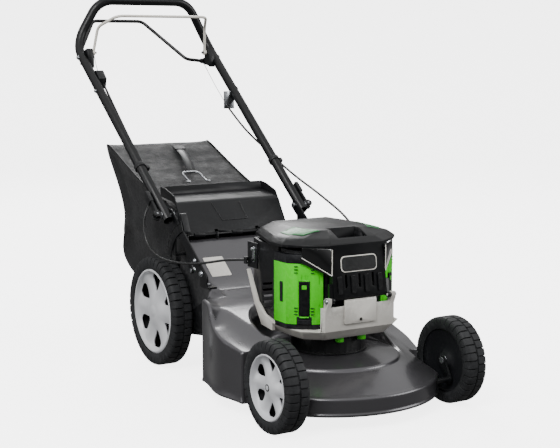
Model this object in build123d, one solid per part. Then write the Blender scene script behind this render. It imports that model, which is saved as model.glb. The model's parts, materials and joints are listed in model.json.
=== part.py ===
"""Battery lawn mower with a rear grass bag, as separate named solids.

Millimetres, +Z up, the mower faces -Y and +X is the operator's left. Every shape is drawn in chassis
coordinates, with y = 0 on the front wheel axle, and is moved by Y_SHIFT when it is written, so that the
origin lies on the ground under the middle of the whole mower.
"""

import os
from math import atan2, cos, degrees, hypot, pi, radians, sin, sqrt, tan

from build123d import *

# --- driving dimensions -------------------------------------------------------------------------------

WALL = 3.0                      # pressed deck sheet, drawn a little heavy
RUN_FIT = 0.05                  # radial clearance of a shaft that turns in a bore

FRONT_R = 100.0                 # front wheel radius; the axle is as high
FRONT_HUB_R = 74.0
FRONT_OUT = 262.5               # outer face of a front wheel
REAR_R = 140.0
REAR_HUB_R = 111.0
REAR_OUT = 210.7
REAR_Y = 671.6                  # wheelbase
WHEEL_W = 54.0
PATCH = 0.4                     # how far the flat contact patch is pressed into the tread
STUB_R = 8.0                    # stub axle radius

CRANK = 46.0                    # from a swing pivot to its stub axle
CRANK_DEG = 60.0                # crank angle above level, at the lowest cut
SWING_DEG = 72.5                # crank travel from the lowest to the highest cut
PIVOT_R = 6.0
CRANK_Y = CRANK * cos(radians(CRANK_DEG))
CRANK_Z = CRANK * sin(radians(CRANK_DEG))

BLADE_Y = 159.0                 # blade and motor axis
BLADE_R = 200.0
RIM_Z = 30.0                    # deck rim above the ground at the lowest cut
DECK_R = 257.0
BAND_Z = 70.0                   # top of the upright front band
DOME_R, DOME_Z = 166.0, 112.0   # foot of the dome
PEDESTAL_R = 85.5
PEDESTAL_Z = 126.0              # foot of the motor pedestal
NOSE_HALF = 204.0               # half width of the deck between the front wheels
ARCH_Y = 126.0                  # rear wall of a front wheel's recess
TUNNEL_HALF = 150.0             # half width of the discharge chute
TAIL_Y = 440.0                  # rear wall of the cutting chamber
SHOULDER_Z = 238.0              # highest point of the deck's shoulders

TRAY_Z = 172.0                  # underside of the power tray
TRAY_TOP = 248.0
HINGE_Y, HINGE_Z = 26.0, 264.0  # lid hinge

LEG_X = 199.0                   # handle leg, centre to the mower's middle, at the fold pivot
LEG_R = 12.5
FOLD_Y, FOLD_Z = 602.0, 398.0   # fold pivot
LEG_Y1, LEG_Z1 = 1146.0, 823.0  # where a leg turns up into the loop
LEG_RISE = (LEG_Z1 - FOLD_Z) / (LEG_Y1 - FOLD_Y)
FOLD_BOLT_R = 4.0
CAM_X = 223.0                   # cross pin of a quick-release lever
CAM_PIN_R = 2.5
CABLE_R = 3.0                   # sheathed cable
LEG_X1 = 210.0
BAR_Y, BAR_Z, BAR_HALF = 1132.0, 947.0, 120.0

OPC_Y, OPC_Z = 1100.0, 800.0    # pivot of the engine-stop bail
DRIVE_Y, DRIVE_Z = 1130.0, 775.0
DRIVE_REACH = 168.0
DRIVE_DEG = 44.0                # rest angle of the drive bail above level

FLAP_Y, FLAP_Z = 590.0, 342.0   # rear flap hinge
TUNNEL_END = FLAP_Y + 6.0       # rear end of the chute
BAG_HALF = 148.5                # half width of the bag between the wheels
BAG_TOP_HALF = 159.0            # half width above them

LEVER_Y, LEVER_Z, LEVER_DEG = 500.0, 270.0, 65.0   # height lever pivot and rest angle

REAR_REACH = DRIVE_Y + DRIVE_REACH * cos(radians(DRIVE_DEG)) + 5.0
Y_SHIFT = -(REAR_REACH - FRONT_R - PATCH) / 2

WRITTEN = []                    # names of the nodes written so far


# --- helpers ------------------------------------------------------------------------------------------

def box(x0, x1, y0, y1, z0, z1):
    """Return the block between two corners."""
    return Pos((x0 + x1) / 2, (y0 + y1) / 2, (z0 + z1) / 2) * Box(x1 - x0, y1 - y0, z1 - z0)


def cyl_x(r, x0, x1, y, z):
    return Pos((x0 + x1) / 2, y, z) * Rot(0, 90, 0) * Cylinder(r, abs(x1 - x0))


def cyl_y(r, y0, y1, x, z):
    return Pos(x, (y0 + y1) / 2, z) * Rot(90, 0, 0) * Cylinder(r, abs(y1 - y0))


def cyl_z(r, z0, z1, x=0.0, y=BLADE_Y):
    return Pos(x, y, (z0 + z1) / 2) * Cylinder(r, abs(z1 - z0))


def plan(points, z0, z1):
    """Extrude an outline drawn in plan (x, y) from z0 to z1."""
    return Pos(0, 0, z0) * extrude(make_face(Polyline(*points, close=True)), z1 - z0)


def profile(points, x0, x1):
    """Extrude an outline drawn in side view (y, z) from x0 to x1."""
    face = Plane.YZ.offset(x0) * make_face(Polyline(*points, close=True))
    return extrude(face, amount=x1 - x0, dir=(1, 0, 0))


def rod(points, radii, r):
    """Sweep a round bar along straight runs joined by tangent arcs."""
    path = FilletPolyline(*points, radius=radii) if len(points) > 2 else Line(*points)
    return sweep(Plane(origin=path @ 0, z_dir=path % 0) * Circle(r), path=path)


def far(shape):
    """Mirror a shape to the other side of the mower."""
    return mirror(shape, about=Plane.YZ)


def link(y0, z0, y1, z1, half, x0, x1):
    """Return a flat link with round ends between two points of the side view."""
    run = hypot(y1 - y0, z1 - z0)
    tilt = degrees(atan2(z1 - z0, y1 - y0))
    bar = Pos(0, run / 2, 0) * Box(x1 - x0, run, 2 * half)
    bar = Pos((x0 + x1) / 2, y0, z0) * Rot(tilt, 0, 0) * bar
    return bar + cyl_x(half, x0, x1, y0, z0) + cyl_x(half, x0, x1, y1, z1)


def save(name, shape):
    """Write one node, as a compound of its solids, in the row's frame."""
    solids = shape.solids()
    part = solids[0] if len(solids) == 1 else Compound(children=list(solids))
    export_step(Pos(0, Y_SHIFT, 0) * part, f"parts/{name}.step")
    WRITTEN.append(name)


def largest(shape):
    """Return the biggest solid of a shape that was cut into pieces."""
    return max(shape.solids(), key=lambda piece: piece.volume)


def group(*shapes):
    """Return separate solids as one compound."""
    return Compound(children=[solid for shape in shapes for solid in shape.solids()])


def save_both(name, shape):
    """Write a piece and its mirror image as two solids of one node."""
    save(name, group(shape, far(shape)))


def save_pair(name, shape):
    """Write a piece on the operator's left and its mirror image on the right."""
    save(f"{name}_left", shape)
    save(f"{name}_right", far(shape))


# --- wheels -------------------------------------------------------------------------------------------

def tyre(r, hub_r, blocks):
    """Return a tyre about the X axis with two staggered rows of tread blocks."""
    half = WHEEL_W / 2
    top = r + PATCH
    outline = [(-half + 3, hub_r), (-half, hub_r + 6), (-half, top - 9), (-half + 5, top - 1), (-half + 9, top),
               (-1.5, top), (-1.5, top - 3), (1.5, top - 3), (1.5, top), (half - 9, top), (half - 5, top - 1),
               (half, top - 9), (half, hub_r + 6), (half - 3, hub_r)]
    ring = revolve(make_face(Polyline(*outline, close=True)), Axis.X)
    pitch = 360 / blocks
    cuts = []
    for i in range(blocks):
        for side, turn in ((1, (i + 0.5) * pitch), (-1, i * pitch)):
            cuts.append(Rot(turn, 0, 0) * Pos(side * (half / 2 + 2), 0, -top) * Box(half, 3.2, 6))
    ring = ring - cuts
    return ring & Pos(0, 0, r) * Box(3 * WHEEL_W, 4 * r, 4 * r)


def hub(r):
    """Return a six-window wheel centre about the X axis, with its face towards +X."""
    half = WHEEL_W / 2
    face_x = half - 3
    outline = [(-half + 8, STUB_R + RUN_FIT), (-half + 8, 15), (face_x - 7, 18), (face_x - 8, r - 12),
               (face_x - 12, r - 5), (-half + 3, r - 4), (-half + 3, r), (face_x, r), (face_x, r - 4),
               (face_x - 4, r - 9), (face_x - 3, 24), (face_x - 1, 18), (face_x - 1, STUB_R + RUN_FIT)]
    body = revolve(make_face(Polyline(*outline, close=True)), Axis.X)
    inner, outer = 0.40 * r, 0.84 * r
    window = make_face(Polyline((inner, -0.055 * r), (outer, -0.19 * r), (outer + 0.02 * r, 0), (outer, 0.19 * r),
                                (inner, 0.055 * r), close=True))
    cutter = extrude(Plane.YZ * window, amount=2 * half, both=True)
    body = body - [Rot(60 * i + 30, 0, 0) * cutter for i in range(6)]
    rib = Pos(face_x - 5, 0.56 * r, 0) * Box(8, 0.62 * r, 2.4)
    ribs = [Rot(60 * i + side, 0, 0) * rib for i in range(6) for side in (-7, 7)]
    return body + ribs


def wheels():
    for name, r, hub_r, blocks, x_out, y in (("front", FRONT_R, FRONT_HUB_R, 36, FRONT_OUT, 0.0),
                                             ("rear", REAR_R, REAR_HUB_R, 44, REAR_OUT, REAR_Y)):
        place = Pos(x_out - WHEEL_W / 2, y, r)
        save_pair(f"{name}_tyre", place * tyre(r, hub_r, blocks))
        save_pair(f"{name}_hub", place * hub(hub_r))


def axles():
    """Front and rear swing axles: a cross rod, two cranks and two stub axles, welded into one."""
    for name, y, z, x_out in (("front_axle", 0.0, FRONT_R, FRONT_OUT), ("rear_axle", REAR_Y, REAR_R, REAR_OUT)):
        x_in = x_out - WHEEL_W + 1
        side = cyl_x(STUB_R, x_in, x_out - 5, y, z)
        if name == "front_axle":
            side = side + link(y - CRANK_Y, z - CRANK_Z, y, z, 11, x_in, x_in + 5)
            rod_y, rod_z, rod_r, hole = y - CRANK_Y, z - CRANK_Z, PIVOT_R, None
        else:
            side = side + link(y - CRANK_Y, z - CRANK_Z, y, z, 12, x_in, x_in + 5)
            hole = cyl_x(PIVOT_R + RUN_FIT, -x_out, x_out, y - CRANK_Y, z - CRANK_Z)
            rod_y, rod_z, rod_r = y - CRANK_Y + 32, z - CRANK_Z, PIVOT_R
            side = side + link(y - CRANK_Y, z - CRANK_Z, rod_y, rod_z, 9, x_in, x_in + 5)
        shape = side + far(side) + cyl_x(rod_r, -x_in - 2, x_in + 2, rod_y, rod_z)
        save(name, shape - hole if hole else shape)


# --- deck ---------------------------------------------------------------------------------------------

def deck_outline():
    """Return the plan outline of the cutting chamber as a face: nose arc, wheel recesses, flared sides."""
    nose_y = BLADE_Y - sqrt(DECK_R ** 2 - NOSE_HALF ** 2)
    tail_half = TUNNEL_HALF - 8
    nose = ThreePointArc((-NOSE_HALF, nose_y), (0, BLADE_Y - DECK_R), (NOSE_HALF, nose_y))
    right = Polyline((NOSE_HALF, nose_y), (NOSE_HALF, ARCH_Y), (246, ARCH_Y + 4))
    flare = ThreePointArc((246, ARCH_Y + 4), (259, 200), (226, 355))
    tail = Polyline((226, 355), (tail_half, TAIL_Y), (-tail_half, TAIL_Y), (-226, 355))
    flare_r = ThreePointArc((-226, 355), (-259, 200), (-246, ARCH_Y + 4))
    left = Polyline((-246, ARCH_Y + 4), (-NOSE_HALF, ARCH_Y), (-NOSE_HALF, nose_y))
    return make_face([nose, right, flare, tail, flare_r, left])


def shoulder(heights, inset, low, x0, x1):
    """Return the block under the deck's shoulder; heights are its top points (y, z) in side view."""
    top = [(y, z - inset) for y, z in heights]
    front = (heights[0][0] + inset, heights[0][1] - inset)
    return profile([(front[0], low - 1), front] + top[1:] + [(TAIL_Y + 5, SHOULDER_Z - inset), (TAIL_Y + 5, low - 1)],
                   x0, x1)


def deck_block(inset, low):
    """Return the deck as a full block, shrunk by inset on every face but its open underside."""
    top = 420
    outline = deck_outline()
    if inset:
        outline = offset(outline, amount=-inset, kind=Kind.INTERSECTION)
    chamber = Pos(0, 0, low) * extrude(outline, top)
    crown = [(0, low - 1), (DECK_R + 9, low - 1), (DECK_R + 9, BAND_Z - inset), (DECK_R, BAND_Z - inset),
             (DOME_R, DOME_Z - 5 - inset), (DOME_R - 2, DOME_Z - inset), (DOME_R - 22, DOME_Z + 8 - inset),
             (PEDESTAL_R - 5, PEDESTAL_Z - inset), (0, PEDESTAL_Z - inset)]
    face = Plane.XZ * make_face(Polyline(*crown, close=True))
    front = Pos(0, BLADE_Y, 0) * revolve(face, Axis.Z)
    volute = [(40, 84), (85, 140), (125, 172), (420, SHOULDER_Z)]        # rising side, towards the chute
    calm = [(40, 84), (100, 102), (205, 118), (420, SHOULDER_Z)]         # low side
    sides = shoulder(calm, inset, low, -300, 300) + shoulder(volute, inset, low, -300, -inset)
    body = chamber & (front + (sides - cyl_z(DOME_R + 4 - inset, BAND_Z, top)))
    tunnel = profile([(334, 100 + inset), (334, 153 - inset), (400, 187 - inset), (FLAP_Y - 3, 330 - inset),
                      (TUNNEL_END + inset, 330 - inset), (TUNNEL_END + inset, 150 + inset),
                      (TAIL_Y, 100 + inset)], -TUNNEL_HALF + inset, TUNNEL_HALF - inset)
    return body + tunnel


def deck():
    shell = deck_block(0, RIM_Z) - deck_block(WALL, RIM_Z - 20)
    shell = shell - cyl_z(30, PEDESTAL_Z - 20, PEDESTAL_Z + 5)
    shell = shell - cyl_x(PIVOT_R + RUN_FIT, -230, 230, -CRANK_Y, FRONT_R - CRANK_Z)
    shell = shell - box(-42, 42, TAIL_Y - 15, TAIL_Y + 20, 64, 94)
    save("deck_shell", largest(shell))


def side_plates():
    """Plates at the deck's tail that carry the rear axle, and the channels that carry the handle."""
    axle_y, axle_z = REAR_Y - CRANK_Y, REAR_R - CRANK_Z
    plate = profile([(445, 110), (640, 84), (660, 88), (668, 120), (632, 330), (600, 330), (445, 215)],
                    TUNNEL_HALF, TUNNEL_HALF + 3.5)
    plate = plate - cyl_x(PIVOT_R + RUN_FIT, 140, 160, axle_y, axle_z)
    save_both("side_plates", plate)
    half = 14.0
    channel = link(420, 262, FOLD_Y, FOLD_Z, half, LEG_X - LEG_R - 4.5, LEG_X - LEG_R - 1.0)
    foot = box(160, LEG_X - LEG_R - 1.0, 404, 440, 238.5, 242.5)
    web = profile([(405, 241), (440, 241), (446, 262), (420, 270)], LEG_X - LEG_R - 4.5, LEG_X - LEG_R - 1.0)
    strut = box(LEG_X - LEG_R - 4.5, LEG_X - LEG_R - 1.0, 575, 590, 296, 380)
    tie = box(TUNNEL_HALF + 3.5, LEG_X - LEG_R - 1.0, 575, 590, 296, 304)
    channel = channel + foot + web + strut + tie
    hole = cyl_x(FOLD_BOLT_R + RUN_FIT, 170, 200, FOLD_Y, FOLD_Z)
    save_both("lower_handles", channel - hole)


def deck_hardware():
    """Grouped bolts of the pedestal and side plates, and the pan under the drive belt."""
    bolts = []
    for i in range(4):
        a = radians(45 + 90 * i)
        x, y = (PEDESTAL_R - 12) * cos(a), BLADE_Y + (PEDESTAL_R - 12) * sin(a)
        bolts.append(cyl_z(6, PEDESTAL_Z - WALL - 6, PEDESTAL_Z - WALL, x, y))
    for side in (-1, 1):
        for y, z in ((470, 150), (560, 180)):
            x = side * (TUNNEL_HALF + 3.5)
            bolts.append(cyl_x(6, x, x + side * 2.6, y, z))
        bolts.append(cyl_z(6, 242.5, 247, side * 170, 430))
    bolts.append(cyl_x(5, -182, -174, LEVER_Y, LEVER_Z) + cyl_x(8, -176.5, -172, LEVER_Y, LEVER_Z))
    fold = cyl_x(FOLD_BOLT_R, 178, CAM_X + 2, FOLD_Y, FOLD_Z) + cyl_x(7, 176, 181.9, FOLD_Y, FOLD_Z)
    fold = fold + cyl_x(9, CAM_X - 11.3, CAM_X - 10.3, FOLD_Y, FOLD_Z)
    fold = fold + along_leg() * Pos(CAM_X, 0, 0) * Cylinder(CAM_PIN_R, 18)
    save("chassis_bolts", group(*bolts, fold, far(fold)))
    cover = box(-46, 46, TAIL_Y + 4, 598, 60, 84) - box(-43, 43, TAIL_Y, 600, 63, 85)
    save("belt_cover", cover)


# --- power head ---------------------------------------------------------------------------------------

def motor():
    pedestal = cyl_z(PEDESTAL_R, PEDESTAL_Z, TRAY_Z) - cyl_z(PEDESTAL_R - 4, PEDESTAL_Z - 1, TRAY_Z - 4)
    pedestal = pedestal + cyl_z(PEDESTAL_R + 4, PEDESTAL_Z, PEDESTAL_Z + 4)
    pedestal = pedestal - cyl_z(PEDESTAL_R - 4, PEDESTAL_Z - 1, TRAY_Z - 4) - cyl_z(12, TRAY_Z - 6, TRAY_Z + 2)
    save("motor_pedestal", pedestal)
    stator = cyl_z(PEDESTAL_R - 4.5, 138, 164) - cyl_z(48, 130, 170)
    slot = Pos(0, 58, 151) * Box(7, 12, 40)
    stator = stator - [Pos(0, BLADE_Y, 0) * Rot(0, 0, 20 * i) * slot for i in range(18)]
    save("motor_stator", stator)
    shaft = cyl_z(10, 62, 170) + cyl_z(47.3, 139, 163)
    save("motor_shaft", shaft)
    pulley_z = 74.0
    groove = cyl_z(26, pulley_z - 1, pulley_z + 15) - cyl_z(10, 60, 100)
    ring = cyl_z(27, pulley_z + 2, pulley_z + 12) - cyl_z(21, 60, 100)
    save("drive_pulley", groove - ring)
    adapter = cyl_z(24, 43, 61.9) - cyl_z(6, 40, 56)
    save("blade_adapter", adapter)
    save("blade_bolt", cyl_z(11, 29, 37.9) + cyl_z(5.9, 37.9, 55))
    save("blade", blade())


def blade():
    """A flat bar with bevelled cutting edges and upswept lift wings, along X at rest."""
    bar = Pos(0, 0, 40.5) * Box(2 * (BLADE_R - 1), 52, 5)
    wing = profile([(-26, 43), (-8, 43), (-22, 53), (-26, 53)], BLADE_R - 66, BLADE_R - 1)
    edge = profile([(26.5, 36), (26.5, 43.5), (14, 43.5)], BLADE_R - 92, BLADE_R + 1)
    shape = bar + wing + Rot(0, 0, 180) * wing - edge - Rot(0, 0, 180) * edge
    shape = Pos(0, BLADE_Y, 0) * shape
    return (shape & cyl_z(BLADE_R, 20, 80)) - cyl_z(6, 30, 60)


def tray_plan(grow=0.0):
    """Return the plan outline of the power tray, wider by grow."""
    return [(-92 - grow, 30 - grow), (92 + grow, 30 - grow), (132 + grow, 66), (138 + grow, 100),
            (138 + grow, 240), (118 + grow, 316 + grow), (-118 - grow, 316 + grow), (-138 - grow, 240),
            (-138 - grow, 100), (-132 - grow, 66)]


def pack_plan(inset=0.0):
    """Return the plan outline of the right-hand battery pack, which has a faceted front."""
    return [(-78 - inset, 60 + inset), (-100, 68 + inset), (-132 + inset, 92 + inset / 2),
            (-145 + inset, 108), (-145 + inset, 160 - inset), (-78 - inset, 160 - inset)]


def tray():
    low = make_face(Polyline(*[(0.86 * x, 172 + (y - 172) * 0.86) for x, y in tray_plan()], close=True))
    high = make_face(Polyline(*tray_plan(), close=True))
    lower = loft([Pos(0, 0, TRAY_Z) * low, Pos(0, 0, TRAY_Z + 22) * high], ruled=True)
    upper = plan(tray_plan(), TRAY_Z + 22, TRAY_TOP)
    body = lower + upper
    hollow = plan(tray_plan(-4.0), TRAY_Z + 26, TRAY_TOP + 1)
    sides = box(-170, 170, 20, 175, TRAY_Z + 22, TRAY_TOP + 20)
    keep = box(-76, 76, 0, 200, TRAY_Z, TRAY_TOP + 20) + box(-97, 97, 0, 52, TRAY_Z, TRAY_TOP + 20)
    body = body - hollow - (sides - keep)
    above = profile([(175, TRAY_Z + 22), (340, TRAY_Z + 70), (340, TRAY_TOP + 20), (175, TRAY_TOP + 20)],
                    -170, 170)
    below = profile([(229, TRAY_Z - 9), (229, TRAY_Z + 9), (262, 228), (297, 300), (345, 300), (345, TRAY_Z - 9)],
                    -170, 170)
    horn = profile([(180, TRAY_Z + 4), (229, TRAY_Z + 9), (262, 228), (297, 300), (291, 302), (250, 232),
                    (215, 206), (180, 198)], 130.5, 138)
    body = (body - above - below) + horn + far(horn)
    body = body - cyl_z(8, TRAY_Z - 1, TRAY_Z + 30)
    for side in (-1, 1):
        ear = profile([(30, TRAY_TOP - 12), (38, TRAY_TOP - 12), (38, HINGE_Z), (32, HINGE_Z + 6),
                       (20, HINGE_Z + 6), (20, HINGE_Z - 6)], 81, 91)
        body = body + (ear if side > 0 else far(ear))
    cover = box(-42, 42, 25.5, 30, 208, 262)
    save("tray_cover", cover - box(-46, 46, 24, 27, 258, 270) + cyl_y(2.2, 24.6, 26, 0, 216))
    pin = cyl_x(3, 71, 91, HINGE_Y, HINGE_Z)
    save("power_tray", body + pin + far(pin))
    knobs = [Pos(x, y, TRAY_Z - 6) * Cylinder(10, 12) for x, y in ((-30, 66), (30, 66))]
    save("tray_knobs", group(*knobs))


def housing():
    """Black housing behind the battery packs, with louvres, and the board and terminals inside it."""
    outline = [(-72, 60), (72, 60), (72, 166), (130, 166), (130, 250), (110, 312), (-110, 312), (-130, 250),
               (-130, 166), (-72, 166)]
    inner = [(-68, 64), (68, 64), (68, 170), (126, 170), (126, 249), (107, 308), (-107, 308), (-126, 249),
             (-126, 170), (-68, 170)]
    body = plan(outline, TRAY_Z + 26.5, 372) - plan(inner, TRAY_Z + 30, 368)
    body = body & (plan(outline, TRAY_Z, 372) - profile([(175, TRAY_Z - 5), (360, TRAY_Z - 5), (360, 246),
                                                        (175, 197)], -200, 200))
    louvre = [Pos(0, 215, 222 + 14 * i) * Rot(-12, 0, 0) * Box(300, 44, 5) for i in range(5)]
    vents = [Pos(x, 312, 300) * Box(5, 30, 60) for x in range(-60, 61, 15)]
    front = box(-56, 56, 50, 68, 290, 350)
    boss = box(129, 151, 228, 258, 300, 322)
    save("power_housing", (body - louvre - vents - front) + boss)
    save("controller_board", box(-60, 60, 90, 250, 214, 244))
    posts = [box(-77, -72, y, y + 6, 270, 300) for y in (96, 124)]
    save("battery_terminals", group(*posts, *[far(post) for post in posts]))


LID_RIM_Z = 378.0
LID_LOW = [(-71, 42), (71, 42), (122, 78), (153, 112), (153, 168), (130, 236), (102, 316),
           (-102, 316), (-130, 236), (-153, 168), (-153, 112), (-122, 78)]
LID_MID = [(-60, 60), (60, 60), (108, 90), (137, 120), (137, 172), (118, 234), (92, 306),
           (-92, 306), (-118, 234), (-137, 172), (-137, 120), (-108, 90)]
LID_HIGH = [(-46, 92), (46, 92), (68, 102), (84, 130), (88, 176), (82, 232), (74, 282),
            (-74, 282), (-82, 232), (-88, 176), (-84, 130), (-68, 102)]


def lid_stack(inset):
    """Return the lid's top as a full faceted block, shrunk by inset."""
    levels = ((LID_LOW, LID_RIM_Z), (LID_LOW, LID_RIM_Z + 6), (LID_MID, 396.0), (LID_HIGH, 411.0))
    k = 1 - inset / 110
    shape = None
    for (a, za), (b, zb) in zip(levels, levels[1:]):
        faces = []
        for points, z in ((a, za), (b, zb)):
            ring = [(x * k, 180 + (y - 180) * k) for x, y in points]
            drop = inset if z > LID_RIM_Z else 0.0
            faces.append(Pos(0, 0, z - drop) * make_face(Polyline(*ring, close=True)))
        layer = loft(faces, ruled=True)
        shape = layer if shape is None else shape + layer
    return shape


def lid():
    """Front panel and top cover in one shell, hinged along its lower front edge."""
    body = lid_stack(0) - Pos(0, 0, -1) * lid_stack(3.5)
    panel = profile([(25.5, 263), (29.5, 263), (46, LID_RIM_Z + 2), (42, LID_RIM_Z + 2)], -71, 71)
    cheek = profile([(29, 276), (46, 296), (58, LID_RIM_Z + 2), (44, LID_RIM_Z + 2)], 68, 71)
    body = body + panel + cheek + far(cheek)
    post = profile([(28, 262), (38, 262), (38, 300), (33, 300)], 68, 80)
    knuckle = cyl_x(6, 72, 80, HINGE_Y, HINGE_Z)
    body = body + post + far(post) + knuckle + far(knuckle)
    cup = box(-42, 42, 76, 116, 385, 408) & lid_stack(0)
    body = (body + cup) - box(-39, 39, 60, 112, 388, 440)
    slots = [box(x - 3, x + 3, 20, 45, 288, 318) for x in (-36, 0, 36)]
    slots.append(cyl_x(3 + RUN_FIT, -81, 81, HINGE_Y, HINGE_Z))
    save("lid_shell", body - slots)
    top, low = LID_RIM_Z - 0.4, 346.0
    pane = plan([(-71, 37), (-121, 80), (-123, 78), (-73, 35)], 300, top)
    pane = pane & profile([(30, 312), (82, low), (82, top), (30, top)], -130, -60)
    save("lid_panes", group(pane, far(pane)))
    window = plan([(-64, 96), (-104, 104), (-124, 134), (-122, 172), (-84, 172), (-80, 132)], 380, 440)
    window = (window & lid_stack(-0.8)) - lid_stack(0)
    save("lid_windows", group(window, far(window)))


# --- battery packs ------------------------------------------------------------------------------------

def packs():
    case = plan(pack_plan(), 206, 342)
    slots = [Pos(x, y, z) * Rot(0, 0, turn) * Box(1.6, 6, 22) for z in (240, 305)
             for x, y, turn in ((-110, 74, -38), (-114, 77, -38), (-120, 82, -38), (-86, 62, -20))]
    trim = plan(pack_plan(1.5), 194.6, 206) + plan(pack_plan(), 342, 362)
    trim = trim + plan([(-80, 74), (-100, 82), (-124, 100), (-133, 118), (-133, 150), (-80, 150)], 362, 370)
    trim = trim - plan([(-84, 86), (-118, 104), (-126, 120), (-126, 144), (-84, 144)], 365, 372)
    strip = Pos(-115, 79.5, 263) * Rot(0, 0, -37) * Box(25, 3, 80)
    strip = strip + Pos(-115, 79.5, 213) * Rot(0, 0, -37) * Box(34, 3, 20)
    for side, mirror_it in (("right", False), ("left", True)):
        pieces = {"battery_case": (case - slots) - strip,
                  "battery_trim": trim + (strip & plan(pack_plan(), 206, 342))}
        for name, shape in pieces.items():
            save(f"{name}_{side}", far(shape) if mirror_it else shape)


# --- throttle linkage and drive train -----------------------------------------------------------------

def linkage():
    plate = box(-133.5, -130, 256, 300, 306, 366)
    clamp = box(-144, -133.5, 290, 300, 314, 330)
    pin = cyl_x(3, -143, -133.5, 266, 327)
    save("throttle_bracket", (plate + clamp + pin) - cyl_y(3.2, 280, 310, -139.5, 322))
    lever = link(266, 327, 266, 352, 6, -138, -134) + cyl_x(3.4, -144, -138, 266, 352)
    save("throttle_lever", lever - cyl_x(3 + RUN_FIT, -140, -132, 266, 327))


def transmission():
    shaft_y, shaft_z = REAR_Y - CRANK_Y, REAR_R - CRANK_Z
    inner = REAR_OUT - WHEEL_W
    shaft = cyl_x(PIVOT_R, -inner - 16, inner + 16, shaft_y, shaft_z)
    teeth = [Rot(30 * i, 0, 0) * Pos(0, 0, 12.5) * Box(8, 3.2, 4) for i in range(12)]
    pinion = (Rot(0, 90, 0) * Cylinder(11.5, 8)) + teeth
    pinion = Pos(inner + 12, shaft_y, shaft_z) * pinion
    save("drive_shaft", shaft + pinion + far(pinion))
    case = box(-40, 40, 600, 668, 88, 126) + cyl_x(7, -TUNNEL_HALF + 0.1, TUNNEL_HALF - 0.1, 606, 110)
    case = case - cyl_x(PIVOT_R + RUN_FIT, -50, 50, shaft_y, shaft_z) - cyl_z(5 + RUN_FIT, 80, 118, 0, 624)
    save("gearbox", case)
    pulley = cyl_z(20, 72, 86, 0, 624) - (cyl_z(21, 75, 83, 0, 624) - cyl_z(15, 70, 90, 0, 624))
    save("gearbox_pulley", pulley + cyl_z(5, 70, 112, 0, 624))
    outer = cyl_z(22.5, 77.5, 80.5) + cyl_z(16.5, 77.5, 80.5, 0, 624)
    band = plan([(-22.5, BLADE_Y), (22.5, BLADE_Y), (16.5, 624), (-16.5, 624)], 77.5, 80.5)
    hole = plan([(-21.2 , BLADE_Y), (21.2, BLADE_Y), (15.2, 624), (-15.2, 624)], 76, 82)
    belt = (outer + band) - hole - cyl_z(21.2, 76, 82) - cyl_z(15.2, 76, 82, 0, 624)
    save("drive_belt", belt)


# --- handle -------------------------------------------------------------------------------------------

def leg_z(y):
    """Return the height of a leg's centre line at y."""
    return FOLD_Z + (y - FOLD_Y) * LEG_RISE


def leg_x(y):
    return LEG_X + (y - FOLD_Y) * (LEG_X1 - LEG_X) / (LEG_Y1 - FOLD_Y)


def handle_points():
    low_y = FOLD_Y - 16
    side = [(leg_x(low_y), low_y, leg_z(low_y)), (LEG_X1, LEG_Y1, LEG_Z1), (140, BAR_Y + 6, BAR_Z)]
    return side + [(-x, y, z) for x, y, z in reversed(side)]


def along_leg():
    """Return the place of the fold pivot in side view, with Y up along the leg."""
    return Pos(0, FOLD_Y, FOLD_Z) * Rot(degrees(atan2(LEG_RISE, 1)), 0, 0)


def handle():
    points, radii = handle_points(), (88, 70, 70, 88)
    solid = rod(points, radii, LEG_R)
    bore = cyl_x(FOLD_BOLT_R + RUN_FIT, -240, 240, FOLD_Y, FOLD_Z)
    save("upper_handle", solid - rod(points, radii, LEG_R - 1.6) - bore)

    block = profile([(1080, 758), (1112, 772), (1112, 806), (1092, 812), (1080, 790)], 182, 199)
    block = block + cyl_x(3, 167, 183, OPC_Y, OPC_Z)
    lug = profile([(1108, 762), (1140, 766), (1140, 784), (1118, 786), (1108, 780)], 191, 200)
    lug = lug + cyl_x(3, 178, 192, DRIVE_Y, DRIVE_Z)
    save_both("bail_brackets", largest((block + lug) - solid))

    cable_box = profile([(1014, 702), (1042, 722), (1052, 748), (1030, 752), (1006, 730)], -199, -177) - solid
    cable_box = cable_box - rod(stop_route(), cord_radii(stop_route()), CABLE_R + 0.2)
    save("cable_box", cable_box - cyl_x(2, -180, -176, 1030, 730))
    stay_y, stay_z = drive_route()[0][1:]
    save("cable_stay", largest(box(172, 204, stay_y + 2.5, stay_y + 7.5, stay_z - 10, stay_z + 40) - solid))

    clips = []
    for side, tab_side, route in ((-1, 1, stop_route()), (1, 1, drive_route())):
        y = 742
        place = Pos(side * leg_x(y), y, leg_z(y)) * Rot(degrees(atan2(LEG_RISE, 1)), 0, 0)
        ring = place * (Rot(90, 0, 0) * Cylinder(LEG_R + 3, 12))
        tab = place * Pos(tab_side * 18, 0, -4) * Box(14, 12, 14)
        clip = (ring + tab) - solid - rod(route, cord_radii(route), CABLE_R + 0.3)
        clips.append(largest(clip))
    save("cable_clips", group(*clips))


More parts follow.
